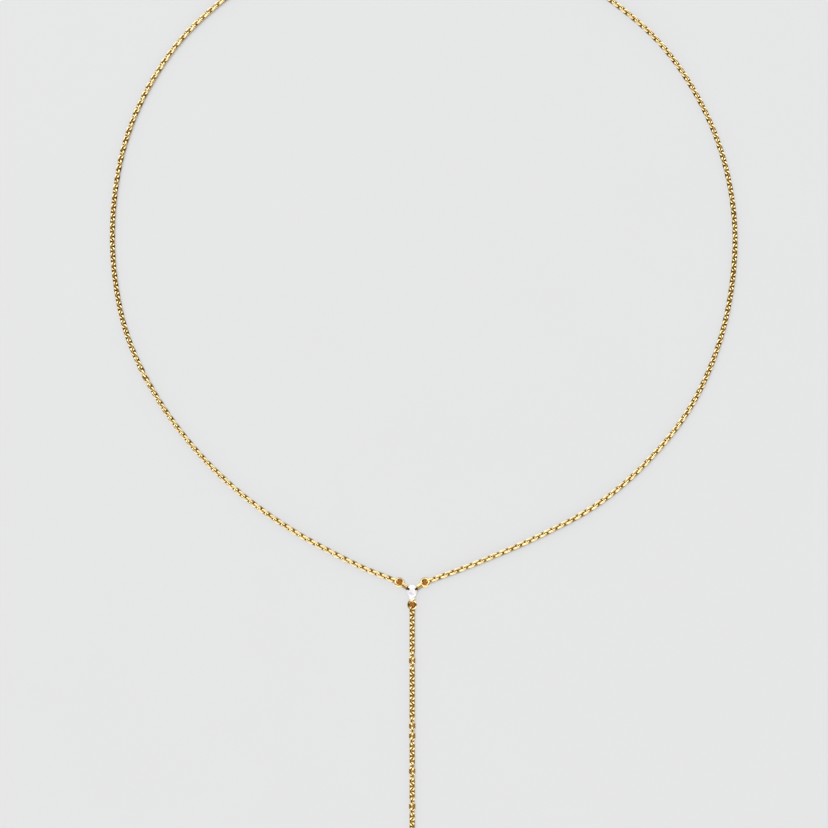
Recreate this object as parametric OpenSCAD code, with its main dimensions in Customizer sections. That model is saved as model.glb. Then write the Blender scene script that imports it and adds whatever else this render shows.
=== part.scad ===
// Y necklace laid flat: a closed neck loop of fine cable chain, a pear-cut stone
// in a claw setting at the fork, and a straight chain that drops from its point.
// Millimetres. +Y runs from the drop to the back of the neck, +Z is up, and z = 0
// is the surface that the necklace lies on.

/* [Chain] */
// Wire diameter of a chain link
link_wire = 0.36; // [0.32:0.01:0.37]
// Outer width of a chain link
link_w = 1.36; // [1.30:0.01:1.44]
// Distance between the centres of neighbouring links
link_pitch = 1.03; // [0.98:0.01:1.10]
// Play between neighbouring links along the chain
link_play = 0.10; // [0.10:0.01:0.14]
// Number of links in the drop
drop_links = 47; // [20:1:60]
// Diameter of the plain tube that stands for a half of the neck loop
tube_d = 1.25; // [1.00:0.05:1.40]

/* [Rings] */
// Wire diameter of a jump ring
ring_wire = 0.38; // [0.34:0.01:0.40]
// Outer diameter of a jump ring
ring_d = 2.05; // [1.95:0.05:2.40]
// Side tilt of a jump ring
ring_roll = 25; // [20:1:28]
// Clearance between a ring and what hangs on it
ring_gap = 0.08; // [0.06:0.01:0.10]

/* [Stone] */
// Width of the stone
stone_w = 2.00; // [1.80:0.05:2.20]
// Length of the stone
stone_l = 3.00; // [2.80:0.05:3.40]
// Height of the crown above the girdle
crown_h = 0.33; // [0.28:0.01:0.38]
// Thickness of the girdle
girdle_h = 0.06; // [0.04:0.01:0.10]
// Depth of the pavilion below the girdle
pavilion_h = 0.86; // [0.78:0.01:0.95]
// Distance from the stone's outline to the table's edge
table_inset = 0.47; // [0.42:0.01:0.52]

/* [Setting] */
// Height of the base rail
base_h = 0.22; // [0.18:0.01:0.26]
// Distance from the stone's outline in to the base rail
base_inset = 0.30; // [0.26:0.01:0.36]
// Radial width of the base rail
base_t = 0.28; // [0.22:0.01:0.32]
// Height of the upper rail
rail_h = 0.25; // [0.20:0.01:0.28]
// Distance from the stone's outline in to the upper rail
rail_inset = 0.10; // [0.08:0.01:0.14]
// Radial width of the upper rail
rail_t = 0.25; // [0.20:0.01:0.28]
// Wire diameter of a claw
claw_d = 0.28; // [0.24:0.01:0.32]
// Reach of a claw's tip over the crown
claw_reach = 0.18; // [0.14:0.01:0.22]
// Wall of the V claw at the stone's point
vee_t = 0.13; // [0.10:0.01:0.16]
// Length of the V claw along the stone
vee_l = 0.38; // [0.30:0.01:0.45]
// Clearance between the stone and its setting
seat_gap = 0.03; // [0.02:0.01:0.05]
// Clearance between the stone's culet and the base rail
culet_gap = 0.17; // [0.15:0.01:0.25]

/* [Eyelets] */
// Wire diameter of a side eyelet
eye_wire = 0.34; // [0.30:0.01:0.35]
// Outer width of a side eyelet
eye_w = 1.30; // [1.28:0.01:1.40]
// Outer length of a side eyelet
eye_l = 2.20; // [2.00:0.05:2.40]
// Angle of a side eyelet above the stone's width
eye_az = 35; // [31:1:39]
// Side tilt of a side eyelet
eye_roll = 54; // [50:1:58]
// Wire diameter of the point's eyelet
tip_eye_wire = 0.27; // [0.22:0.01:0.28]

/* [Clasp] */
// Length of the clasp's body
clasp_l = 6.00; // [5.00:0.25:7.50]
// Diameter of the clasp's body at its middle
clasp_d = 1.60; // [1.40:0.05:1.80]
// Diameter of the clasp's body at its ends
clasp_end_d = 1.00; // [0.85:0.05:1.20]
// Wire diameter of the clasp's eyelets
clasp_eye_wire = 0.35; // [0.30:0.01:0.38]
// Outer diameter of the clasp's eyelets
clasp_eye_d = 1.25; // [1.20:0.05:1.50]
// Slope of the chain's last links away from the clasp
clasp_slope = 6; // [3:1:9]

/* [Hidden] */

// Places are measured from the middle of the stone, seen from above.
// Route of each half of the neck loop, from the fork to the clasp.
route_left = [[-11.8, 5.8], [-24.3, 12.5], [-35.5, 20.5], [-45.1, 30.0], [-52.9, 40.9],
    [-58.5, 53.0], [-61.1, 66.2], [-61.1, 79.6], [-58.6, 92.7], [-53.1, 105.0],
    [-45.0, 115.7], [-32.4, 125.8], [-19.0, 131.9]];
route_right = [[13.1, 5.9], [26.1, 11.5], [38.1, 18.1], [48.4, 27.0], [56.8, 37.6],
    [62.5, 49.9], [65.5, 62.9], [66.0, 76.2], [63.6, 89.3], [58.5, 101.4], [51.0, 112.2],
    [41.3, 120.8], [29.6, 128.3], [17.5, 132.8]];
// Middle of the clasp
clasp_at = [0.9, 135.0];
// Headings of the loop's two halves where they leave their jump rings
chain_az_left = 160;
chain_az_right = 19;
// Links of the drop that lie face up, counted from its jump ring
face_up = [10, 23, 25, 32, 39];
// Links over which the drop turns into and out of a face-up link
turn_links = 2.2;
// Tilt of a link that lies on two of its neighbour's sides
lean = 45;
rings_per_tube = 40;
tube_sides = 8;
fine = 48;
floor_gap = 0.01;
knuckle = 1.06;
// Room between the setting's point and the drop's jump ring
rail_clear = 0.18;

// Chain links
link_c = link_pitch + link_wire + link_play;
link_r = (link_w - link_wire) / 2;
link_end = (link_c + link_wire) / 2;
function chain_z(roll) = link_wire / 2 + link_r * max(abs(sin(roll)), abs(cos(roll)));
function turn(i) = [for (k = face_up) (k % 2 == 0 ? 1 : -1) * lean * max(0, 1 - abs(i - k) / turn_links)];
function total(v, i = 0) = i < len(v) ? v[i] + total(v, i + 1) : 0;
function drop_roll(i) = (i % 2 == 0 ? -lean : lean) + total(turn(i));

// Outline of the stone: a half-round head and two arcs that meet at the point
head_r = stone_w / 2;
head_y = stone_l / 2 - head_r;
point_len = stone_l - head_r;
side_r = (point_len * point_len + head_r * head_r) / (2 * head_r);
point_az = -atan2(point_len, side_r - head_r);
function fold(az) = az > 90 ? 180 - az : az;
function reach(a) = a >= 0 ? head_y * sin(a) + head_r
    : a > point_az ? (head_r - side_r) * cos(a) + head_y * sin(a) + side_r
    : -stone_l / 2 * sin(a);
function point_y(inset) = head_y - sqrt(pow(side_r - inset, 2) - pow(side_r - head_r, 2));

// Facets: directions that the main facets and the small ones between them face
main_az = [90, 45, 0, -32, -90, 212, 180, 135];
half_az = [67.5, 22.5, -16, -50, 230, 196, 157.5, 112.5];
main_inset = table_inset - 0.05;
star_slope = 24;
half_step = 4;
crown_half = atan2(crown_h, main_inset) + half_step;
culet_y = 0.30;
girdle_z = base_h + culet_gap + pavilion_h;
crown_z = girdle_z + girdle_h;
table_z = crown_z + crown_h;
function culet_reach(az) = reach(fold(az)) - culet_y * sin(az);
function pavilion_slope(az) = atan2(pavilion_h, culet_reach(az));

// Setting
steepest = atan2(pavilion_h, head_r) + half_step;
rail_top = girdle_z - (rail_inset + rail_t + seat_gap) * tan(steepest);
claw_r = claw_d / 2;
claw_az = 15;
claw_out = head_r + seat_gap + claw_r;
claw_foot = head_r - base_inset - base_t / 2;
claw_foot_z = knuckle * claw_r + 0.02;
claw_elbow_z = girdle_z - 0.10;
claw_tip = head_r - claw_reach;
claw_bend_z = crown_z + 0.10;
claw_tip_z = crown_z + claw_reach * crown_h / main_inset + (knuckle * claw_r + seat_gap) / cos(crown_half);
vee_z = rail_top - rail_h / 3;
// Thickness of the V claw's lip, and its reach in over the crown's facets there
vee_lip_t = 0.09;
vee_lip_in = 0.12;
point_facets = [-32, -50, -90, 212, 230];

// Eyelets and jump rings share one height
ring_r = (ring_d - ring_wire) / 2;
eye_r = (eye_w - eye_wire) / 2;
tip_eye_r = ring_wire / 2 + ring_gap + tip_eye_wire / 2;
axis_z = floor_gap + max(eye_wire / 2 + eye_r * sin(eye_roll), ring_wire / 2 + ring_r * sin(ring_roll),
    tip_eye_r + tip_eye_wire / 2);
function claw_at(z) = claw_foot + (claw_out - claw_foot) * (z - claw_foot_z) / (claw_elbow_z - claw_foot_z);
function dir(az) = [cos(az), sin(az)];
eye_near = [0, head_y] + claw_at(axis_z) * dir(claw_az);
eye_c = eye_l - eye_wire;
ring_in = (eye_wire + ring_wire) / 2 + ring_gap;
ring_right_at = eye_near + (eye_c - ring_in + ring_r) * dir(eye_az);
ring_left_at = [-ring_right_at[0], ring_right_at[1]];
tip_eye_y = point_y(rail_inset) - rail_clear - ring_wire / 2;
ring_drop_at = [0, tip_eye_y - ring_r];

// End links, drop and clasp
link_in = ring_r - (link_wire + ring_wire) / 2 - ring_gap + link_c / 2;
end_left_at = ring_left_at + link_in * dir(chain_az_left);
end_right_at = ring_right_at + link_in * dir(chain_az_right);
drop_y = ring_drop_at[1] - link_in;
drop_end = drop_y - (drop_links - 1) * link_pitch - link_end;
clasp_eye_r = (clasp_eye_d - clasp_eye_wire) / 2;
clasp_eye_x = clasp_l / 2 + clasp_eye_r - 0.10;
clasp_eye_z = chain_z(90);
clasp_link_in = clasp_eye_r - (link_wire + clasp_eye_wire) / 2 - ring_gap + link_c / 2;
function from_clasp(side, d) = clasp_at + [side * clasp_eye_x, 0] + d * [side * cos(clasp_slope), -sin(clasp_slope)];

// Tubes: Catmull-Rom curves through the routes
tube_gap = link_play;
tube_r = tube_d / 2;
tube_z = tube_r * cos(180 / tube_sides);
path_left = concat([end_left_at + (link_end + tube_gap) * dir(chain_az_left)], route_left,
    [from_clasp(-1, clasp_link_in + link_end + tube_gap)]);
path_right = concat([end_right_at + (link_end + tube_gap) * dir(chain_az_right)], route_right,
    [from_clasp(1, clasp_link_in + link_end + tube_gap)]);
function knot(p, i) = i < 0 ? 2 * p[0] - p[1] : i >= len(p) ? 2 * p[len(p) - 1] - p[len(p) - 2] : p[i];
function curve(a, b, c, d, t) = (2 * b + (c - a) * t + (2 * a - 5 * b + 4 * c - d) * t * t
    + (3 * b - a - 3 * c + d) * t * t * t) / 2;
function slope(a, b, c, d, t) = ((c - a) + 2 * (2 * a - 5 * b + 4 * c - d) * t
    + 3 * (3 * b - a - 3 * c + d) * t * t) / 2;
function seg(p, u) = min(floor(u), len(p) - 2);
function place(p, u, i) = curve(knot(p, i - 1), knot(p, i), knot(p, i + 1), knot(p, i + 2), u - i);
function course(p, u, i) = slope(knot(p, i - 1), knot(p, i), knot(p, i + 1), knot(p, i + 2), u - i);
function steps(p) = [for (k = [0 : rings_per_tube - 1]) k * (len(p) - 1) / (rings_per_tube - 1)];
function ring_points(c, t) = [for (k = [0 : tube_sides - 1])
    let (a = 360 * (k + 0.5) / tube_sides, n = [-t[1], t[0]] / norm(t))
    [c[0] + tube_r * cos(a) * n[0], c[1] + tube_r * cos(a) * n[1], tube_z + tube_r * sin(a)]];

// The whole necklace is centred on the middle of its box
left_edge = min([for (u = steps(path_left)) place(path_left, u, seg(path_left, u))[0]]) - tube_r;
right_edge = max([for (u = steps(path_right)) place(path_right, u, seg(path_right, u))[0]]) + tube_r;
middle = [(left_edge + right_edge) / 2, (drop_end + clasp_at[1] + clasp_d / 2) / 2];

module centred() {
    translate([-middle[0], -middle[1], 0]) children();
}

module along(at, z, az, roll) {
    translate([at[0], at[1], z]) rotate([0, 0, az]) rotate([roll, 0, 0]) children();
}

// A ring of round wire in the XY plane
module ring(r, wire) {
    rotate_extrude($fn = fine) translate([r, 0]) circle(d = wire, $fn = fine);
}

// A long loop of round wire: c and r are the length and half width of its centre line
module loop(c, r, wire) {
    for (side = [-1, 1]) {
        translate([side * (c / 2 - r), 0, 0]) rotate([0, 0, side * 90 - 180])
            rotate_extrude(angle = 180, $fn = fine) translate([r, 0]) circle(d = wire, $fn = fine);
        translate([r - c / 2, side * r, 0]) rotate([0, 90, 0]) cylinder(d = wire, h = c - 2 * r, $fn = fine);
    }
}

module link() {
    loop(link_c, link_r, link_wire);
}

// A bent wire through a list of points, with a ball a little wider than the wire at each
module bent_wire(points, d) {
    for (p = points) translate(p) sphere(d = knuckle * d, $fn = fine);
    for (i = [0 : len(points) - 2]) {
        v = points[i + 1] - points[i];
        translate(points[i]) rotate([0, acos(v[2] / norm(v)), atan2(v[1], v[0])])
            cylinder(d = d, h = norm(v), $fn = fine);
    }
}

// Outline of the stone, moved in by inset
module pear(inset) {
    translate([0, head_y]) circle(head_r - inset, $fn = fine * 2);
    intersection() {
        translate([head_r - side_r, head_y]) circle(side_r - inset, $fn = fine * 2);
        translate([side_r - head_r, head_y]) circle(side_r - inset, $fn = fine * 2);
        translate([-stone_l, head_y - 2 * stone_l]) square([2 * stone_l, 2 * stone_l]);
    }
}

// The space inside one facet that passes through the line at distance d and height z
module facet(az, slope_up, d, z) {
    big = 4 * stone_l;
    rotate([0, 0, az]) translate([d, 0, z]) rotate([0, slope_up > 0 ? slope_up - 90 : 90 + slope_up, 0])
        translate([-big, -big / 2, -big / 2]) cube(big);
}

module stone() {
    color("white") centred() intersection() {
        translate([0, 0, girdle_z - pavilion_h]) linear_extrude(table_z - girdle_z + pavilion_h) pear(0);
        intersection_for (az = main_az) {
            facet(az, atan2(crown_h, main_inset), reach(fold(az)), crown_z);
        }
        intersection_for (az = half_az) {
            facet(az, crown_half, reach(fold(az)), crown_z);
        }
        intersection_for (az = half_az) {
            facet(az, star_slope, reach(fold(az)) - table_inset, table_z);
        }
        intersection_for (az = main_az) {
            facet(az, -pavilion_slope(az), reach(fold(az)), girdle_z);
        }
        intersection_for (az = half_az) {
            facet(az, -pavilion_slope(az) - half_step, reach(fold(az)), girdle_z);
        }
    }
}

// A flat band that follows the stone's outline
module band(outer, width, z, h) {
    translate([0, 0, z]) linear_extrude(h) difference() {
        pear(outer);
        pear(outer + width);
    }
}

// The stone's point and what lies within a length of it
module near_point(length) {
    intersection() {
        children();
        translate([-stone_w, -2 * stone_l - stone_l / 2 + length, 0]) cube([2 * stone_w, 2 * stone_l, 2 * table_z]);
    }
}

// The space under the crown's facets near the stone's point, raised by lift
module under_crown(lift) {
    intersection_for (az = point_facets) {
        facet(az, crown_half, reach(fold(az)), crown_z + lift / cos(crown_half));
    }
}

// A wall round the stone's point whose lip follows the crown
module vee_claw() {
    outer = -seat_gap - vee_t;
    half_wall = outer + vee_t / 2;
    near_point(vee_l) difference() {
        intersection() {
            band(outer, vee_lip_in - outer, vee_z, table_z - vee_z);
            under_crown(seat_gap + vee_lip_t);
        }
        intersection() {
            linear_extrude(2 * table_z) pear(-seat_gap);
            under_crown(seat_gap);
        }
    }
    near_point(vee_l * 0.9) band(half_wall, rail_inset + rail_t / 2 - half_wall, vee_z * 1.01, rail_h / 2);
}

module claw(side) {
    across = dir(claw_az);
    function at(out, z) = [side * out * across[0], head_y + out * across[1], z];
    bent_wire([at(claw_foot, claw_foot_z), at(claw_out, claw_elbow_z), at(claw_out, claw_bend_z),
        at(claw_tip, claw_tip_z)], claw_d);
}

module side_eyelet(side) {
    mirror([side < 0 ? 1 : 0, 0, 0]) along(eye_near + eye_c / 2 * dir(eye_az), axis_z, eye_az, eye_roll)
        loop(eye_c, eye_r, eye_wire);
}

module point_eyelet() {
    translate([0, tip_eye_y, axis_z]) rotate([0, 90, 0]) ring(tip_eye_r, tip_eye_wire);
    bent_wire([[0, point_y(base_inset + base_t / 2), base_h / 2 + 0.03],
        [0, point_y(rail_inset + rail_t / 2), rail_top - rail_h / 2]], tip_eye_wire);
}

module setting() {
    color("gold") centred() {
        band(base_inset, base_t, 0, base_h);
        band(rail_inset, rail_t, rail_top - rail_h, rail_h);
        vee_claw();
        point_eyelet();
        for (side = [-1, 1]) {
            claw(side);
            side_eyelet(side);
        }
    }
}

module jump_ring(at, az, roll) {
    color("gold") centred() along(at, axis_z, az, roll) ring(ring_r, ring_wire);
}

module end_link(at, z, az, roll) {
    color("gold") centred() along(at, z, az, roll) link();
}

module tube(path) {
    us = steps(path);
    n = tube_sides;
    points = [for (u = us) each ring_points(place(path, u, seg(path, u)), course(path, u, seg(path, u)))];
    last = (len(us) - 1) * n;
    sides = [for (i = [0 : len(us) - 2]) for (k = [0 : n - 1])
        let (a = i * n + k, b = i * n + (k + 1) % n) each [[a, b, b + n], [a, b + n, a + n]]];
    caps = [[for (k = [n - 1 : -1 : 0]) k], [for (k = [0 : n - 1]) last + k]];
    color("gold") centred() polyhedron(points = points, faces = concat(sides, caps));
}

module drop_chain() {
    color("gold") centred() for (i = [0 : drop_links - 1]) {
        roll = drop_roll(i);
        along([0, drop_y - i * link_pitch], i == 0 ? axis_z : chain_z(roll), -90, roll) link();
    }
}

// A barrel that swells from its two flat ends to its middle
module barrel(l, d, end_d) {
    swell = (d - end_d) / 2;
    bow_r = (l * l / 4 + swell * swell) / (2 * swell);
    rotate([0, 90, 0]) rotate_extrude($fn = fine * 2) intersection() {
        translate([d / 2 - bow_r, 0]) circle(bow_r, $fn = fine * 8);
        translate([0, -l / 2]) square([d, l]);
    }
}

module clasp() {
    color("gold") centred() translate([clasp_at[0], clasp_at[1], 0]) {
        translate([0, 0, clasp_d / 2]) barrel(clasp_l, clasp_d, clasp_end_d);
        for (side = [-1, 1]) {
            translate([side * clasp_eye_x, 0, clasp_eye_z]) ring(clasp_eye_r, clasp_eye_wire);
        }
    }
}

stone();
setting();
jump_ring(ring_left_at, (180 - eye_az + chain_az_left) / 2, ring_roll);  // jump_ring_left
jump_ring(ring_right_at, (eye_az + chain_az_right) / 2, -ring_roll);  // jump_ring_right
jump_ring(ring_drop_at, -90, ring_roll);  // jump_ring_drop
end_link(end_left_at, axis_z, chain_az_left, -lean);  // end_link_left
end_link(end_right_at, axis_z, chain_az_right, lean);  // end_link_right
tube(path_left);  // chain_left
tube(path_right);  // chain_right
drop_chain();
clasp();
end_link(from_clasp(-1, clasp_link_in), clasp_eye_z, 180 + clasp_slope, 90);  // clasp_link_left
end_link(from_clasp(1, clasp_link_in), clasp_eye_z, -clasp_slope, 90);  // clasp_link_right
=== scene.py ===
import math
import random

import bpy
from bpy.props import (FloatProperty, FloatVectorProperty, IntProperty, PointerProperty)
from mathutils import Matrix, Vector


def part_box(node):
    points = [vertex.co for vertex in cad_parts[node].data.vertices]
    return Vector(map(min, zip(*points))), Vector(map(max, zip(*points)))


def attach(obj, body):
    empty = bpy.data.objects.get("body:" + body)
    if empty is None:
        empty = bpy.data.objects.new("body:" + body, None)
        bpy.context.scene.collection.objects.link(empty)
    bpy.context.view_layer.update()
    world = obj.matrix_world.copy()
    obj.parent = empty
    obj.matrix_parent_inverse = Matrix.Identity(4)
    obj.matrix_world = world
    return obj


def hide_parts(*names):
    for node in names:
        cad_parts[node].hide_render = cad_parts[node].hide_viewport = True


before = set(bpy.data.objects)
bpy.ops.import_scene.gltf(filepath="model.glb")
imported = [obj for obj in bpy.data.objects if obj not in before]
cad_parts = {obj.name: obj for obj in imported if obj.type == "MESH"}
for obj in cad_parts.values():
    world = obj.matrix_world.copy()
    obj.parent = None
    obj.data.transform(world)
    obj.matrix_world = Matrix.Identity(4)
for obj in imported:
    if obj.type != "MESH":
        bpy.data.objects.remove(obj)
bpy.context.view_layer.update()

bl_info = {
    "name": "Y Necklace",
    "version": (1, 0, 0),
    "blender": (4, 5, 0),
    "location": "3D View > Sidebar > Necklace",
    "description": "Links the chains of a y necklace and finishes its gold and its stone",
    "category": "Object",
}

MM = 0.001
# How near a cut a vertex counts as lying on it
FINE = 0.0001 * MM
stone_lo, stone_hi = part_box("stone")
# The middle of the stone: every place in millimetres below is measured from it
FORK = (stone_lo + stone_hi) / 2

# Routes of the neck loop's two halves, from the fork to the clasp
ROUTE_LEFT = [(-11.8, 5.8), (-24.3, 12.5), (-35.5, 20.5), (-45.1, 30.0), (-52.9, 40.9),
    (-58.5, 53.0), (-61.1, 66.2), (-61.1, 79.6), (-58.6, 92.7), (-53.1, 105.0),
    (-45.0, 115.7), (-32.4, 125.8), (-19.0, 131.9)]
ROUTE_RIGHT = [(13.1, 5.9), (26.1, 11.5), (38.1, 18.1), (48.4, 27.0), (56.8, 37.6), (62.5, 49.9),
    (65.5, 62.9), (66.0, 76.2), (63.6, 89.3), (58.5, 101.4), (51.0, 112.2), (41.3, 120.8),
    (29.6, 128.3), (17.5, 132.8)]
# Turn of the links about the chain's own line, as (millimetres along the route, degrees)
TURN_LEFT = [(0, -15), (64, -15), (67.5, -45), (70.5, 0), (103, 0), (113, -15), (170, -20)]
TURN_RIGHT = [(0, -15), (56, -15), (76, 0), (120, 0), (170, 8)]
# Degrees by which neighbouring links lean to one side and the other
LEAN = 45
# Degrees of random turn added to each link of the neck loop
SCATTER = 5
# Millimetres over which the loop's last links turn to meet the clasp link
END_RUN = 8
# Points worked out between two points of a route
CURVE_STEPS = 40
# Links of the drop that lie face up, counted from its jump ring, and links over which it turns
FACE_UP = [10, 23, 25, 32, 39]
TURN_LINKS = 2.2
# Half the length of a link of the drop's CAD chain
HALF_LINK = 0.925
# From the middle of an end link to where the route proper begins
LEAD_IN = HALF_LINK + 0.10
# Edges that turn by less than this angle are shaded smooth
SMOOTH_BELOW = math.radians(40)
# Sides of a jump ring's loop and of its wire
RING_SIDES = (32, 12)
# Where the claws' tips hold the stone
CLAW_TIPS = [(-0.79, 0.71), (0.79, 0.71)]
# Stretch of a claw's tip, and its flat underside and its place below the claw's top in diameters
TIP_STRETCH = (1.15, 0.95, 0.8)
TIP_FLAT = 0.25
TIP_SINK = 0.4
# The middle of the lilac gleam painted on the stone
LILAC_PAINTED_GLEAM = (-0.35, -0.25)
# The point of the V claw, where a pale highlight is painted
POINT = (-0.2, -1.45)
# Heading and side tilt, in degrees, of each jump ring
RINGS = {"left": (152.5, 22), "right": (27, -22), "drop": (-90, 22)}
# Heading and roll, in degrees, of the eyelets at the stone's shoulders
EYELETS = {"left": (145, -54), "right": (35, 54)}
# From the middle of a jump ring to the middle of its eyelet
EYELET_IN = 1.325
# Heading and roll, in degrees, of the links that end the neck loop's halves
END_LINKS = {"end_link_left": (160, -45), "end_link_right": (19, 45),
    "clasp_link_left": (186, 90), "clasp_link_right": (-6, 90)}
# Radii, in millimetres, of round spots on the plan: full within the first, gone past the second
RING_REFLECTION_SPOT = (0.55, 0.85)
TIP_REFLECTION_SPOT = (0.34, 0.44)
POINT_HIGHLIGHT_SPOT = (0.15, 0.50)
GLEAM_SPOT = (0.15, 0.75)
GLOW_SPOT = (0.50, 0.62)
# Heights between which painted shade darkens the gold towards the floor, and how far into its loop's
# hollow the painted shade begins and is full
LOW_PAINTED_SHADE = (0.85 * MM, 0.40 * MM)
HOLLOW_PAINTED_SHADE = (0.40, 0.85)
# Clouds and grain of the gold, and clouds of the stone and of the floor, as waves to a metre
GOLD_CLOUDS = 900
GOLD_GRAIN = 9000
STONE_CLOUDS = 1200
FLOOR_CLOUDS = 40
# Height of the gold's grain
GRAIN_HEIGHT = 0.004 * MM
# The shade that the gold casts to its lower right: its reach, the way to the light, its levels
CAST_REACH = 1.3 * MM
CAST_FROM = (-0.5, 0.5, 0.7)
CAST_LEVELS = (0.15, 0.58)
# The shade right under the gold
UNDER_REACH = 1.6 * MM
UNDER_LEVELS = (0.20, 0.50)
# Edge of the sky that brightens from the sides to the front and the back
SKY_EDGE = (0.25, 0.55)
# Width of the camera's sensor in its own millimetres
SENSOR = 36
# Middle of the photo's view from the stone's middle, where the key light stands from there, and sizes
VIEW_MIDDLE = (0.369 * MM, 36.49 * MM, 0)
KEY_PLACE = (-0.45, 0.40, 0.60)
KEY_SIZE = 0.55
FLOOR_SIZE = 6.0


class NecklaceChain(bpy.types.PropertyGroup):
    wire: FloatProperty(name="Wire", description="Diameter of a link's wire", default=0.46 * MM,
        unit="LENGTH", precision=5)
    width: FloatProperty(name="Width", default=1.40 * MM, unit="LENGTH", precision=5,
        description="Outer width of a link of the drop, and of an eyelet")
    loop_width: FloatProperty(name="Loop width", default=1.28 * MM, unit="LENGTH", precision=5,
        description="Outer width of a link of the neck loop")
    loop_pitch: FloatProperty(name="Loop pitch", default=1.00 * MM, unit="LENGTH", precision=5,
        description="Distance between neighbouring links of the neck loop")
    drop_pitch: FloatProperty(name="Drop pitch", default=1.03 * MM, unit="LENGTH", precision=5,
        description="Distance between neighbouring links of the drop")
    eyelet_pitch: FloatProperty(name="Eyelet pitch", default=1.30 * MM, unit="LENGTH", precision=5,
        description="Pitch of a chain whose links would be as long as the side eyelets")
    play: FloatProperty(name="Play", description="Play between neighbouring links",
        default=0.02 * MM, unit="LENGTH", precision=5)
    drop_links: IntProperty(name="Drop links", description="Number of links in the drop", default=47)
    sides: IntProperty(name="Sides", description="Sides of a link's loop", default=14)
    wire_sides: IntProperty(name="Wire sides", description="Sides of a link's wire", default=6)
    ring_wire: FloatProperty(name="Ring wire", description="Diameter of a jump ring's wire",
        default=0.55 * MM, unit="LENGTH", precision=5)
    ring_width: FloatProperty(name="Ring width", description="Outer diameter of a jump ring",
        default=2.13 * MM, unit="LENGTH", precision=5)
    claw_tip: FloatProperty(name="Claw tip", description="Diameter of a claw's rounded end",
        default=0.48 * MM, unit="LENGTH", precision=5)
    ring_slit: FloatProperty(name="Ring slit", description="Width of the slit where a ring closes",
        default=0.03 * MM, unit="LENGTH", precision=5)


class NecklaceFinish(bpy.types.PropertyGroup):
    gold: FloatVectorProperty(name="Gold", description="Colour of the polished gold",
        subtype="COLOR", size=3, default=(1.0, 0.83, 0.445))
    # Colour of the warm reflection painted on the gold round the jump rings, also the warm side of the
    # gold's random tone
    gold_warm: FloatVectorProperty(name="Warm gold", description="Colour where gold mirrors gold",
        subtype="COLOR", size=3, default=(0.62, 0.28, 0.05))
    # Colour of the painted shade in the gold's hollows and low parts
    gold_painted_shade: FloatVectorProperty(name="Deep gold", description="Colour of the gold in its hollows",
        subtype="COLOR", size=3, default=(0.066, 0.034, 0.001))
    # Colour of the highlight painted at the V claw's point
    gold_painted_highlight: FloatVectorProperty(name="Pale gold", description="Colour of the claw at the point",
        subtype="COLOR", size=3, default=(0.97, 0.95, 0.90))
    gold_edge: FloatVectorProperty(name="Gold edge", description="Colour of gold seen at a slant",
        subtype="COLOR", size=3, default=(1.0, 0.70, 0.18))
    # Colour of the dark reflection painted on the claws' tips
    claw_painted_reflection: FloatVectorProperty(name="Claw tips", description="Colour of the claws' tips",
        subtype="COLOR", size=3, default=(0.02, 0.015, 0.01))
    # How strong the painted shade is in the hollows and low parts of each gold
    chain_shade: FloatProperty(name="Chain shade", description="How deep the neck loop's hollows look",
        default=0.9, min=0, max=1, subtype="FACTOR")
    drop_shade: FloatProperty(name="Drop shade", description="How deep the drop's hollows look",
        default=0.38, min=0, max=1, subtype="FACTOR")
    findings_shade: FloatProperty(name="Findings shade", default=0.6, min=0, max=1, subtype="FACTOR",
        description="How deep the low parts of the rings, the eyelets and the setting look")
    gold_roughness: FloatProperty(name="Gold roughness", description="Blur of the gold's gloss",
        default=0.13, min=0, max=1, subtype="FACTOR")
    stone: FloatVectorProperty(name="Stone", description="Colour of the stone",
        subtype="COLOR", size=3, default=(0.99, 0.99, 1.0))
    stone_cloud: FloatVectorProperty(name="Stone cloud", subtype="COLOR", size=3,
        default=(0.90, 0.89, 0.97), description="Colour of the stone's cloudy parts")
    # Colour of the lilac gleam painted on the stone
    stone_gleam: FloatVectorProperty(name="Stone gleam", subtype="COLOR", size=3,
        default=(0.74, 0.71, 0.92), description="Colour of the stone's lilac gleam")


class NecklaceStage(bpy.types.PropertyGroup):
    view_width: FloatProperty(name="View width", description="Width of floor that the camera sees",
        default=169.74 * MM, unit="LENGTH", precision=5)
    camera_height: FloatProperty(name="Camera height", description="Height of the camera",
        default=0.70, unit="LENGTH")
    floor: FloatVectorProperty(name="Floor", description="Colour of the floor", subtype="COLOR",
        size=3, default=(0.12, 0.1212, 0.123))
    shadow: FloatVectorProperty(name="Shadow", description="Colour of the floor in the gold's shade",
        subtype="COLOR", size=3, default=(0.021, 0.0095, 0.0003))
    ring_glow: FloatVectorProperty(name="Ring glow", subtype="COLOR", size=3,
        default=(0.068, 0.027, 0.005), description="Colour of the light inside the jump rings")
    floor_glow: FloatProperty(name="Floor glow", description="Light that comes through the floor",
        default=0.662)
    key: FloatProperty(name="Key light", description="Power of the light at the upper left",
        default=1.5, unit="POWER")
    sky: FloatProperty(name="Sky", description="Strength of the light from all round", default=1.8)
    sky_side: FloatVectorProperty(name="Sky at the sides", subtype="COLOR", size=3,
        default=(0.08, 0.047, 0.008), description="Colour of the sky left and right")


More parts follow.
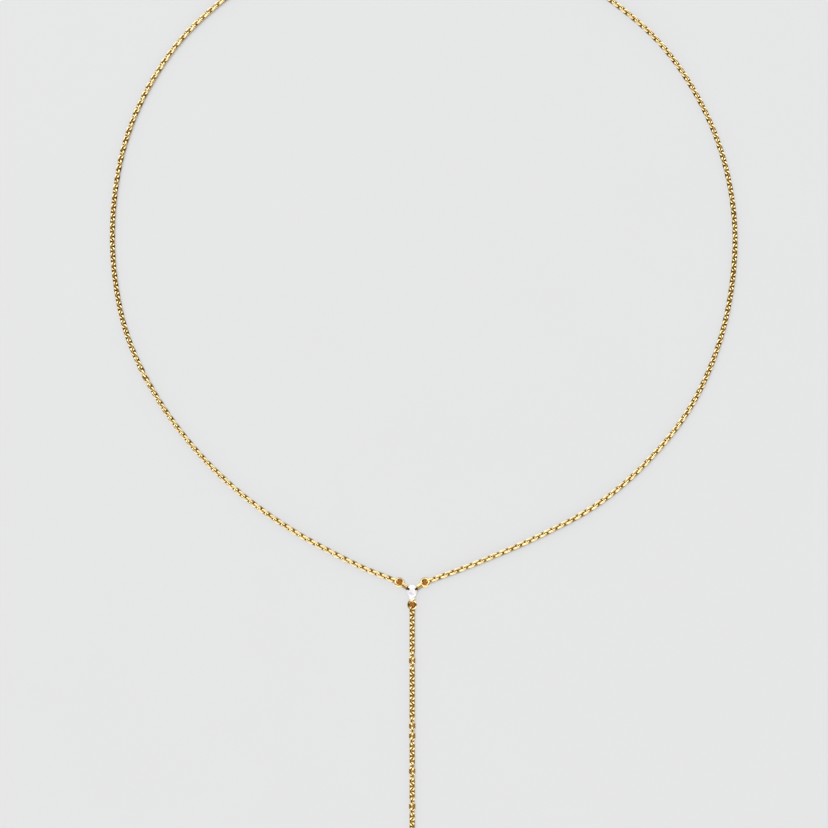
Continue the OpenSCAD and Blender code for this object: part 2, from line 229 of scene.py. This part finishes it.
class Signal:
    """A socket that takes part in sums, each of which adds a Math node."""

    def __init__(self, tree, socket):
        self.tree = tree
        self.socket = socket

    def sum(self, operation, first, second=0):
        made = self.tree.node("ShaderNodeMath", {"operation": operation}, {0: first, 1: second})
        return Signal(self.tree, made.outputs[0])

    def __add__(self, other):
        return self.sum("ADD", self, other)

    def __radd__(self, other):
        return self.sum("ADD", other, self)

    def __sub__(self, other):
        return self.sum("SUBTRACT", self, other)

    def __rsub__(self, other):
        return self.sum("SUBTRACT", other, self)

    def __mul__(self, other):
        return self.sum("MULTIPLY", self, other)

    def __rmul__(self, other):
        return self.sum("MULTIPLY", other, self)

    def __abs__(self):
        return self.sum("ABSOLUTE", self)

    def over(self, other):
        """The larger of two values."""
        return self.sum("MAXIMUM", self, other)


class Tree:
    """The nodes of a material or a world in the making."""

    def __init__(self, owner):
        owner.use_nodes = True
        self.nodes = owner.node_tree.nodes
        self.links = owner.node_tree.links
        self.nodes.clear()

    def node(self, kind, settings=None, sockets=None):
        """Adds a node, with its settings first and then the values or links of its sockets."""
        made = self.nodes.new(kind)
        for key, value in (settings or {}).items():
            if key == "stops":
                ramp = made.color_ramp.elements
                while len(ramp) < len(value):
                    ramp.new(1)
                for stop, (place, colour) in zip(ramp, value):
                    stop.position = place
                    stop.color = colour
            else:
                setattr(made, key, value)
        for key, value in (sockets or {}).items():
            self.plug(made.inputs[key], value)
        return made

    def plug(self, socket, value):
        if isinstance(value, Signal):
            self.links.new(value.socket, socket)
        elif isinstance(value, bpy.types.NodeSocket):
            self.links.new(value, socket)
        else:
            socket.default_value = value


class Finish(Tree):
    """A material in the making, with one principled shader."""

    def __init__(self, name, **constants):
        self.material = bpy.data.materials.new(name)
        super().__init__(self.material)
        self.shader = self.node("ShaderNodeBsdfPrincipled")
        self.node("ShaderNodeOutputMaterial", sockets={"Surface": self.shader.outputs["BSDF"]})
        self.feed(**constants)

    def feed(self, **values):
        """Sets or links sockets of the shader, named in small letters."""
        for key, value in values.items():
            self.plug(self.shader.inputs[key.replace("_", " ").title().replace("Ior", "IOR")], value)

    def place(self):
        """The place on the object, in metres."""
        return self.node("ShaderNodeTexCoord").outputs["Object"]

    def drawn(self, attribute):
        """A value that was drawn on the mesh."""
        made = self.node("ShaderNodeAttribute", {"attribute_name": attribute})
        return Signal(self, made.outputs["Fac"])

    def height(self):
        """Height above the floor in metres."""
        return Signal(self, self.node("ShaderNodeSeparateXYZ", {}, {0: self.place()}).outputs["Z"])

    def near(self, spot, inner, outer):
        """1 round a spot of the plan, given in millimetres from the stone's middle, and 0 outside."""
        flat = self.node("ShaderNodeVectorMath", {"operation": "MULTIPLY"},
            {0: self.place(), 1: (1, 1, 0)})
        centre = (FORK.x + spot[0] * MM, FORK.y + spot[1] * MM, 0)
        away = self.node("ShaderNodeVectorMath", {"operation": "DISTANCE"},
            {0: flat.outputs[0], 1: centre})
        return self.smooth(Signal(self, away.outputs["Value"]), outer * MM, inner * MM)

    def nook(self, reach, lean=(0, 0, 1)):
        """How open the surface is to one side within a reach: 1 in the open, 0 in a nook."""
        side = self.node("ShaderNodeCombineXYZ", {}, {"X": lean[0], "Y": lean[1], "Z": lean[2]})
        made = self.node("ShaderNodeAmbientOcclusion", {"samples": 12},
            {"Distance": reach, "Normal": side.outputs[0]})
        return Signal(self, made.outputs["AO"])

    def noise(self, scale, detail):
        made = self.node("ShaderNodeTexNoise", {"noise_dimensions": "3D"},
            {"Vector": self.place(), "Scale": scale, "Detail": detail})
        return Signal(self, made.outputs["Fac"])

    def mix(self, mask, first, second):
        """The first colour where the mask is 0, the second where it is 1."""
        made = self.node("ShaderNodeMix", {"data_type": "RGBA", "clamp_factor": True},
            {0: mask, 6: (*first, 1) if isinstance(first, tuple) else first,
                7: (*second, 1) if isinstance(second, tuple) else second})
        return made.outputs[2]

    def bump(self, height, distance, strength):
        made = self.node("ShaderNodeBump", {}, {"Height": height, "Distance": distance,
            "Strength": strength})
        self.feed(Normal=made.outputs["Normal"])

    def smooth(self, value, low, high):
        """0 up to a value, 1 from another, and a soft step between them."""
        made = self.node("ShaderNodeMapRange", {"interpolation_type": "SMOOTHSTEP"},
            {"Value": value, "From Min": low, "From Max": high})
        return Signal(self, made.outputs["Result"])


def blend(first, second, share):
    """A colour a share of the way from one to another."""
    return tuple(a + (b - a) * share for a, b in zip(first, second))


def polished_gold(name, settings, shade):
    """Polished gold, with painted shade in its hollows and where it nears the floor, a warm painted
    reflection round the jump rings, painted dark reflections on the claws' tips and a pale painted
    highlight at the V claw's point.
    """
    finish = Finish(name, metallic=1.0, specular_tint=(*settings.gold_edge, 1))
    cloud = finish.noise(GOLD_CLOUDS, 3)
    grain = finish.noise(GOLD_GRAIN, 2)
    # Painted shade: the gold darkens towards its loops' hollows and where it nears the floor
    inside = finish.smooth(finish.drawn("hollow") + (cloud - 0.5) * 0.4, *HOLLOW_PAINTED_SHADE)
    low = finish.smooth(finish.height() + (cloud - 0.5) * (0.2 * MM), *LOW_PAINTED_SHADE)
    deep = (inside * shade).over(low * shade)
    tone = finish.mix(finish.smooth(cloud, 0.35, 0.70), tuple(settings.gold),
        blend(settings.gold, settings.gold_warm, 0.25))
    # Painted reflection: the gold round each jump ring turns warm, as gold mirrored in gold
    warm = 0
    for side in RINGS:
        warm = finish.near(middle_of(f"jump_ring_{side}"), *RING_REFLECTION_SPOT) + warm
    tone = finish.mix(warm * 0.7, tone, tuple(settings.gold_warm))
    # Painted reflection: the claws' tips are near black, as if mirroring dark surroundings
    tips = 0
    for tip in CLAW_TIPS:
        tips = finish.near(tip, *TIP_REFLECTION_SPOT) + tips
    # Painted highlight: the V claw's point is pale
    tone = finish.mix(finish.near(POINT, *POINT_HIGHLIGHT_SPOT), tone, tuple(settings.gold_painted_highlight))
    tone = finish.mix(deep, tone, tuple(settings.gold_painted_shade))
    finish.feed(base_color=finish.mix(tips, tone, tuple(settings.claw_painted_reflection)),
        roughness=settings.gold_roughness - 0.04 + cloud * 0.08 + deep * 0.10 + grain * 0.04)
    finish.bump(grain, GRAIN_HEIGHT, 0.5)
    return finish.material


def clear_stone(settings):
    """A clear cut stone, a touch cloudy inside, with crisp facets, a faint painted glow and a painted
    lilac gleam.
    """
    # The faint white emission is painted light: the stone glows a little, though it is no lamp
    finish = Finish("clear stone", metallic=0.0, ior=2.0, transmission_weight=0.12,
        emission_color=(1, 1, 1, 1), emission_strength=0.07)
    cloud = finish.noise(STONE_CLOUDS, 2)
    tone = finish.mix(cloud * 0.5, tuple(settings.stone), tuple(settings.stone_cloud))
    # Painted reflection: a lilac gleam round one spot of the stone
    gleam = finish.near(LILAC_PAINTED_GLEAM, *GLEAM_SPOT)
    finish.feed(base_color=finish.mix(gleam, tone, tuple(settings.stone_gleam)),
        roughness=0.02 + cloud * 0.04)
    return finish.material


def only(item):
    """Selects one object alone and makes it the active one."""
    bpy.ops.object.select_all(action="DESELECT")
    item.select_set(True)
    bpy.context.view_layer.objects.active = item


def draw_hollow(mesh, straight, bend, wire):
    """Draws on each vertex how far it lies towards its loop's hollow, from 0 outside to 1 inside."""
    hollow = mesh.attributes.new("hollow", "FLOAT", "POINT")
    for vertex in mesh.vertices:
        over = max(abs(vertex.co.x) - straight, 0)
        hollow.data[vertex.index].value = 0.5 - (math.hypot(over, vertex.co.y) - bend) / wire


def bend_wire(name, bend, wire, sides, wire_sides):
    """A round loop of wire at the origin, lying flat, to be shaped further."""
    bpy.ops.object.select_all(action="DESELECT")
    bpy.ops.mesh.primitive_torus_add(major_segments=sides, minor_segments=wire_sides,
        major_radius=bend, minor_radius=wire / 2, location=(0, 0, 0))
    loop = bpy.context.object
    loop.name = name
    only(loop)
    return loop


def model_link(chain, pitch, width):
    """One link at the origin, lying flat with its long axis along X."""
    bend = (width - chain.wire) / 2
    straight = (pitch + chain.wire + chain.play) / 2 - bend
    link = bend_wire("link", bend, chain.wire, chain.sides, chain.wire_sides)
    for side in (-1, 1):
        bpy.ops.object.mode_set(mode="EDIT")
        bpy.ops.mesh.select_mode(type="VERT")
        bpy.ops.mesh.select_all(action="DESELECT")
        bpy.ops.object.mode_set(mode="OBJECT")
        for vertex in link.data.vertices:
            vertex.select = vertex.co.x * side > 0
        bpy.ops.object.mode_set(mode="EDIT")
        bpy.ops.transform.translate(value=(side * straight, 0, 0))
        bpy.ops.object.mode_set(mode="OBJECT")
    bpy.ops.object.shade_smooth()
    draw_hollow(link.data, straight, bend, chain.wire)
    return link


def model_ring(chain):
    """One jump ring at the origin, lying flat, with the slit where it closes on its +Y side."""
    bend = (chain.ring_width - chain.ring_wire) / 2
    ring = bend_wire("ring", bend, chain.ring_wire, *RING_SIDES)
    bpy.ops.object.mode_set(mode="EDIT")
    bpy.ops.mesh.select_mode(type="FACE")
    half_slit = chain.ring_slit / 2
    for side in (-1, 1):
        bpy.ops.mesh.select_all(action="SELECT")
        bpy.ops.mesh.bisect(plane_co=(side * half_slit, 0, 0), plane_no=(1, 0, 0), threshold=FINE)
    bpy.ops.mesh.select_all(action="DESELECT")
    bpy.ops.object.mode_set(mode="OBJECT")
    for face in ring.data.polygons:
        face.select = face.center.y > 0 and abs(face.center.x) < half_slit
    bpy.ops.object.mode_set(mode="EDIT")
    bpy.ops.mesh.delete(type="FACE")
    bpy.ops.mesh.select_all(action="SELECT")
    bpy.ops.mesh.fill_holes(sides=0)
    bpy.ops.object.mode_set(mode="OBJECT")
    bpy.ops.object.shade_smooth_by_angle(angle=SMOOTH_BELOW)
    draw_hollow(ring.data, 0, bend, chain.ring_wire)
    return ring


def model_claw_tip(chain):
    """The rounded end of a claw, flat beneath, that holds down the stone's shoulder."""
    bpy.ops.object.select_all(action="DESELECT")
    bpy.ops.mesh.primitive_uv_sphere_add(segments=20, ring_count=12, radius=chain.claw_tip / 2,
        location=(0, 0, 0))
    tip = bpy.context.object
    tip.name = "claw tip"
    only(tip)
    bpy.ops.object.mode_set(mode="EDIT")
    bpy.ops.mesh.select_all(action="SELECT")
    bpy.ops.transform.resize(value=TIP_STRETCH)
    bpy.ops.mesh.bisect(plane_co=(0, 0, -TIP_FLAT * chain.claw_tip), plane_no=(0, 0, 1),
        clear_inner=True, use_fill=True, threshold=FINE)
    bpy.ops.object.mode_set(mode="OBJECT")
    bpy.ops.object.shade_smooth_by_angle(angle=SMOOTH_BELOW)
    return tip


def rest_height(chain, roll, width):
    """Height of a link's middle where it rests on the floor, rolled about the chain's line."""
    bend = (width - chain.wire) / 2
    turn = math.radians(roll)
    return chain.wire / 2 + bend * max(abs(math.sin(turn)), abs(math.cos(turn)))


def lay(link, at, z, heading, roll):
    """A copy of the link or ring at a place of the plan, turned along the chain and rolled about it."""
    copy = link.copy()
    copy.data = link.data.copy()
    bpy.context.scene.collection.objects.link(copy)
    place = Matrix.Translation((FORK.x + at[0] * MM, FORK.y + at[1] * MM, z))
    copy.data.transform(place @ Matrix.Rotation(heading, 4, "Z")
        @ Matrix.Rotation(math.radians(roll), 4, "X"))
    return copy


def string(copies, name, material, *nodes):
    """Joins the laid copies into one gold piece, which stands for the CAD nodes that are named."""
    only(copies[0])
    if len(copies) > 1:
        for copy in copies:
            copy.select_set(True)
        bpy.ops.object.join()
    chain = bpy.context.object
    chain.name = name
    chain.data.name = name
    chain.data.materials.clear()
    chain.data.materials.append(material)
    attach(chain, "root")
    if nodes:
        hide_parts(*nodes)
    return chain


def curve(route, u):
    """A point of the smooth curve through a route's points."""
    i = min(int(u), len(route) - 2)
    t = u - i
    before = route[i - 1] if i > 0 else 2 * route[0] - route[1]
    after = route[i + 2] if i + 2 < len(route) else 2 * route[-1] - route[-2]
    a, b = route[i], route[i + 1]
    return (2 * a + (b - before) * t + (2 * before - 5 * a + 4 * b - after) * t * t
        + (3 * a - before - 3 * b + after) * t * t * t) / 2


def walk(points):
    """The length along a line of points at each of them."""
    lengths = [0.0]
    for a, b in zip(points, points[1:]):
        lengths.append(lengths[-1] + (b - a).length)
    return lengths


def between(table, where):
    """A value read from a table of (place, value) by smooth steps."""
    for (a, low), (b, high) in zip(table, table[1:]):
        if where <= b:
            t = max(0.0, (where - a) / (b - a))
            return low + (high - low) * t * t * (3 - 2 * t)
    return table[-1][1]


def middle_of(node):
    """The middle of a CAD node on the plan, in millimetres from the stone's middle."""
    lo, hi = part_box(node)
    return Vector((((lo.x + hi.x) / 2 - FORK.x) / MM, ((lo.y + hi.y) / 2 - FORK.y) / MM))


def level_of(node):
    """The height of a CAD node's middle, in metres."""
    lo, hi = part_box(node)
    return (lo.z + hi.z) / 2


def loop_half(link, chain, side, route, turns):
    """Links from the end link at the fork to the link at the clasp, evenly spaced."""
    start = middle_of(f"end_link_{side}")
    end = middle_of(f"clasp_link_{side}")
    route = [Vector(p) for p in route]
    route.insert(0, start + (route[0] - start).normalized() * LEAD_IN)
    route.append(end + (route[-1] - end).normalized() * LEAD_IN)
    steps = range(CURVE_STEPS * (len(route) - 1) + 1)
    points = [start] + [curve(route, k / CURVE_STEPS) for k in steps] + [end]
    lengths = walk(points)
    count = round(lengths[-1] / (chain.loop_pitch / MM))
    step = lengths[-1] / count
    sign = -1 if side == "left" else 1
    end_turn = LEAN * (sign if count % 2 == 0 else -sign)
    turned = [*turns, (lengths[-1] - END_RUN, turns[-1][1]), (lengths[-1], end_turn)]
    chance = random.Random(side)
    copies = []
    k = 0
    for i in range(1, count):
        at = i * step
        while lengths[k + 1] < at:
            k += 1
        t = (at - lengths[k]) / (lengths[k + 1] - lengths[k])
        here = points[k].lerp(points[k + 1], t)
        ahead = points[min(k + 2, len(points) - 1)] - points[max(k - 1, 0)]
        roll = (LEAN if i % 2 == 0 else -LEAN) * sign + between(turned, at)
        roll += chance.uniform(-SCATTER, SCATTER)
        z = rest_height(chain, roll, chain.loop_width)
        copies.append(lay(link, here, z, math.atan2(ahead.y, ahead.x), roll))
    return copies


class NECKLACE_OT_neck_loop(bpy.types.Operator):
    """Links the two halves of the neck loop."""
    bl_idname = "necklace.neck_loop"
    bl_label = "Neck loop"

    def execute(self, context):
        chain = context.scene.necklace_chain
        settings = context.scene.necklace_finish
        gold = polished_gold("chain gold", settings, settings.chain_shade)
        link = model_link(chain, chain.loop_pitch, chain.loop_width)
        halves = (("left", ROUTE_LEFT, TURN_LEFT), ("right", ROUTE_RIGHT, TURN_RIGHT))
        for side, route, turns in halves:
            copies = loop_half(link, chain, side, route, turns)
            string(copies, f"neck_chain_{side}", gold, f"chain_{side}")
        bpy.data.objects.remove(link)
        return {"FINISHED"}


class NECKLACE_OT_drop(bpy.types.Operator):
    """Links the straight drop below the stone."""
    bl_idname = "necklace.drop"
    bl_label = "Drop"

    def execute(self, context):
        chain = context.scene.necklace_chain
        settings = context.scene.necklace_finish
        gold = polished_gold("drop gold", settings, settings.drop_shade)
        link = model_link(chain, chain.drop_pitch, chain.width)
        top = (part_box("drop_chain")[1].y - FORK.y) / MM - HALF_LINK
        copies = []
        for i in range(chain.drop_links):
            turned = sum((1 if k % 2 == 0 else -1) * LEAN * max(0, 1 - abs(i - k) / TURN_LINKS)
                for k in FACE_UP)
            roll = (-LEAN if i % 2 == 0 else LEAN) + turned
            z = level_of("jump_ring_drop") if i == 0 else rest_height(chain, roll, chain.width)
            copies.append(lay(link, (0, top - i * chain.drop_pitch / MM), z, -math.pi / 2, roll))
        string(copies, "drop_links", gold, "drop_chain")
        bpy.data.objects.remove(link)
        return {"FINISHED"}


def findings_gold(settings):
    """The gold of all but the chains, made once."""
    made = bpy.data.materials.get("findings gold")
    return made or polished_gold("findings gold", settings, settings.findings_shade)


class NECKLACE_OT_setting(bpy.types.Operator):
    """Gilds the CAD's metal and models the eyelets at the stone's shoulders."""
    bl_idname = "necklace.setting"
    bl_label = "Setting"

    def execute(self, context):
        gold = findings_gold(context.scene.necklace_finish)
        for name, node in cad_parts.items():
            if name != "stone":
                node.data.materials[0] = gold
        chain = context.scene.necklace_chain
        eyelet = model_link(chain, chain.eyelet_pitch, chain.width)
        for side, (heading, roll) in EYELETS.items():
            turn = math.radians(heading)
            at = middle_of(f"jump_ring_{side}") - EYELET_IN * Vector((math.cos(turn), math.sin(turn)))
            laid = lay(eyelet, at, level_of("jump_ring_left"), turn, roll)
            string([laid], f"eyelet_{side}", gold)
        bpy.data.objects.remove(eyelet)
        return {"FINISHED"}


class NECKLACE_OT_end_links(bpy.types.Operator):
    """Models the links that end the neck loop at its jump rings and at the clasp."""
    bl_idname = "necklace.end_links"
    bl_label = "End links"

    def execute(self, context):
        chain = context.scene.necklace_chain
        gold = findings_gold(context.scene.necklace_finish)
        link = model_link(chain, chain.loop_pitch, chain.loop_width)
        for node, (heading, roll) in END_LINKS.items():
            z = max(level_of(node), rest_height(chain, roll, chain.loop_width))
            laid = lay(link, middle_of(node), z, math.radians(heading), roll)
            string([laid], f"{node}_wire", gold, node)
        bpy.data.objects.remove(link)
        return {"FINISHED"}


class NECKLACE_OT_claw_tips(bpy.types.Operator):
    """Models the rounded ends of the claws that hold the stone's shoulders."""
    bl_idname = "necklace.claw_tips"
    bl_label = "Claw tips"

    def execute(self, context):
        chain = context.scene.necklace_chain
        gold = findings_gold(context.scene.necklace_finish)
        tip = model_claw_tip(chain)
        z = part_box("setting")[1].z - TIP_SINK * chain.claw_tip
        for side, spot in zip(("left", "right"), CLAW_TIPS):
            laid = lay(tip, spot, z, math.atan2(spot[1], spot[0]), 0)
            string([laid], f"claw_tip_{side}", gold)
        bpy.data.objects.remove(tip)
        return {"FINISHED"}


class NECKLACE_OT_jump_rings(bpy.types.Operator):
    """Models the three jump rings, each with the slit where it closes."""
    bl_idname = "necklace.jump_rings"
    bl_label = "Jump rings"

    def execute(self, context):
        chain = context.scene.necklace_chain
        gold = findings_gold(context.scene.necklace_finish)
        ring = model_ring(chain)
        for side, (heading, roll) in RINGS.items():
            node = f"jump_ring_{side}"
            laid = lay(ring, middle_of(node), level_of(node), math.radians(heading), roll)
            string([laid], f"ring_{side}", gold, node)
        bpy.data.objects.remove(ring)
        return {"FINISHED"}


class NECKLACE_OT_stone(bpy.types.Operator):
    """Finishes the stone."""
    bl_idname = "necklace.stone"
    bl_label = "Stone"

    def execute(self, context):
        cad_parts["stone"].data.materials[0] = clear_stone(context.scene.necklace_finish)
        return {"FINISHED"}


def soft_light(name, power, size, at, target):
    """A round soft lamp that is aimed at a point."""
    lamp = bpy.data.lights.new(name, "AREA")
    lamp.energy = power
    lamp.shape = "DISK"
    lamp.size = size
    holder = bpy.data.objects.new(name, lamp)
    holder.location = at
    holder.rotation_euler = (target - at).to_track_quat("-Z", "Y").to_euler()
    bpy.context.scene.collection.objects.link(holder)


def floor_paper(settings):
    """The floor's pale paper, with painted shadow in the gold's shade and warm painted light inside the
    jump rings.
    """
    paper = Finish("floor paper", roughness=0.9)
    mottle = paper.noise(FLOOR_CLOUDS, 3)
    tone = tuple(settings.floor)
    shade = paper.mix(mottle, tone, tuple(0.985 * c for c in tone))
    # Painted shadow: the floor darkens where the gold hides it from the upper left or from above
    cast = 1 - paper.smooth(paper.nook(CAST_REACH, CAST_FROM), *CAST_LEVELS)
    shadow = cast.over(1 - paper.smooth(paper.nook(UNDER_REACH), *UNDER_LEVELS))
    shade = paper.mix(shadow, shade, tuple(settings.shadow))
    # Painted light: a warm glow on the floor inside each jump ring, as of light mirrored by the gold
    glow = 0
    for side in RINGS:
        glow = paper.near(middle_of(f"jump_ring_{side}"), *GLOW_SPOT) + glow
    shade = paper.mix(glow, shade, tuple(settings.ring_glow))
    paper.feed(base_color=shade, emission_color=shade,
        emission_strength=settings.floor_glow / max(settings.floor))
    return paper.material


def soft_sky(settings):
    """A sky that is bright in front and behind, and dim at the sides."""
    world = bpy.data.worlds.new("soft sky")
    tree = Tree(world)
    place = tree.node("ShaderNodeTexCoord").outputs["Generated"]
    split = tree.node("ShaderNodeSeparateXYZ", {}, {"Vector": place})
    stops = zip(SKY_EDGE, ((*settings.sky_side, 1), (1, 1, 1, 1)))
    ramp = tree.node("ShaderNodeValToRGB", {"stops": list(stops)},
        {"Fac": abs(Signal(tree, split.outputs["Y"]))})
    back = tree.node("ShaderNodeBackground", {},
        {"Color": ramp.outputs["Color"], "Strength": settings.sky})
    tree.node("ShaderNodeOutputWorld", {}, {"Surface": back.outputs["Background"]})
    return world


class NECKLACE_OT_stage(bpy.types.Operator):
    """Sets the pale floor, the soft light and the camera straight above."""
    bl_idname = "necklace.stage"
    bl_label = "Stage"

    def execute(self, context):
        settings = context.scene.necklace_stage
        scene = context.scene
        bpy.ops.object.select_all(action="DESELECT")
        bpy.ops.mesh.primitive_plane_add(size=FLOOR_SIZE, location=(0, 0, 0))
        floor = context.object
        floor.name = "floor"
        floor.data.materials.append(floor_paper(settings))

        scene.view_settings.view_transform = "Standard"
        scene.world = soft_sky(settings)
        middle = Vector((FORK.x, FORK.y, 0)) + Vector(VIEW_MIDDLE)
        soft_light("key light", settings.key, KEY_SIZE, middle + Vector(KEY_PLACE), middle)

        view = bpy.data.cameras.new("photo view")
        view.sensor_width = SENSOR
        view.lens = SENSOR * settings.camera_height / settings.view_width
        view.clip_start = 0.01
        camera = bpy.data.objects.new("photo view", view)
        camera.location = middle + Vector((0, 0, settings.camera_height))
        scene.collection.objects.link(camera)
        scene.camera = camera
        return {"FINISHED"}


class NECKLACE_PT_panel(bpy.types.Panel):
    """Lists the steps that make the necklace."""
    bl_idname = "NECKLACE_PT_panel"
    bl_label = "Y Necklace"
    bl_space_type = "VIEW_3D"
    bl_region_type = "UI"
    bl_category = "Necklace"

    def draw(self, context):
        for step in STEPS:
            self.layout.operator(step.bl_idname)


SETTINGS = {"necklace_chain": NecklaceChain, "necklace_finish": NecklaceFinish,
    "necklace_stage": NecklaceStage}
STEPS = (NECKLACE_OT_stage, NECKLACE_OT_neck_loop, NECKLACE_OT_drop, NECKLACE_OT_setting,
    NECKLACE_OT_end_links, NECKLACE_OT_claw_tips, NECKLACE_OT_jump_rings, NECKLACE_OT_stone)


def register():
    for group in (*SETTINGS.values(), *STEPS, NECKLACE_PT_panel):
        bpy.utils.register_class(group)
    for name, group in SETTINGS.items():
        setattr(bpy.types.Scene, name, PointerProperty(type=group))


def unregister():
    for name in SETTINGS:
        delattr(bpy.types.Scene, name)
    for group in (NECKLACE_PT_panel, *reversed(STEPS), *reversed(SETTINGS.values())):
        bpy.utils.unregister_class(group)


def main():
    register()
    bpy.ops.necklace.stage()
    bpy.ops.necklace.neck_loop()
    bpy.ops.necklace.drop()
    bpy.ops.necklace.setting()
    bpy.ops.necklace.end_links()
    bpy.ops.necklace.claw_tips()
    bpy.ops.necklace.jump_rings()
    bpy.ops.necklace.stone()


if __name__ == "__main__":
    main()
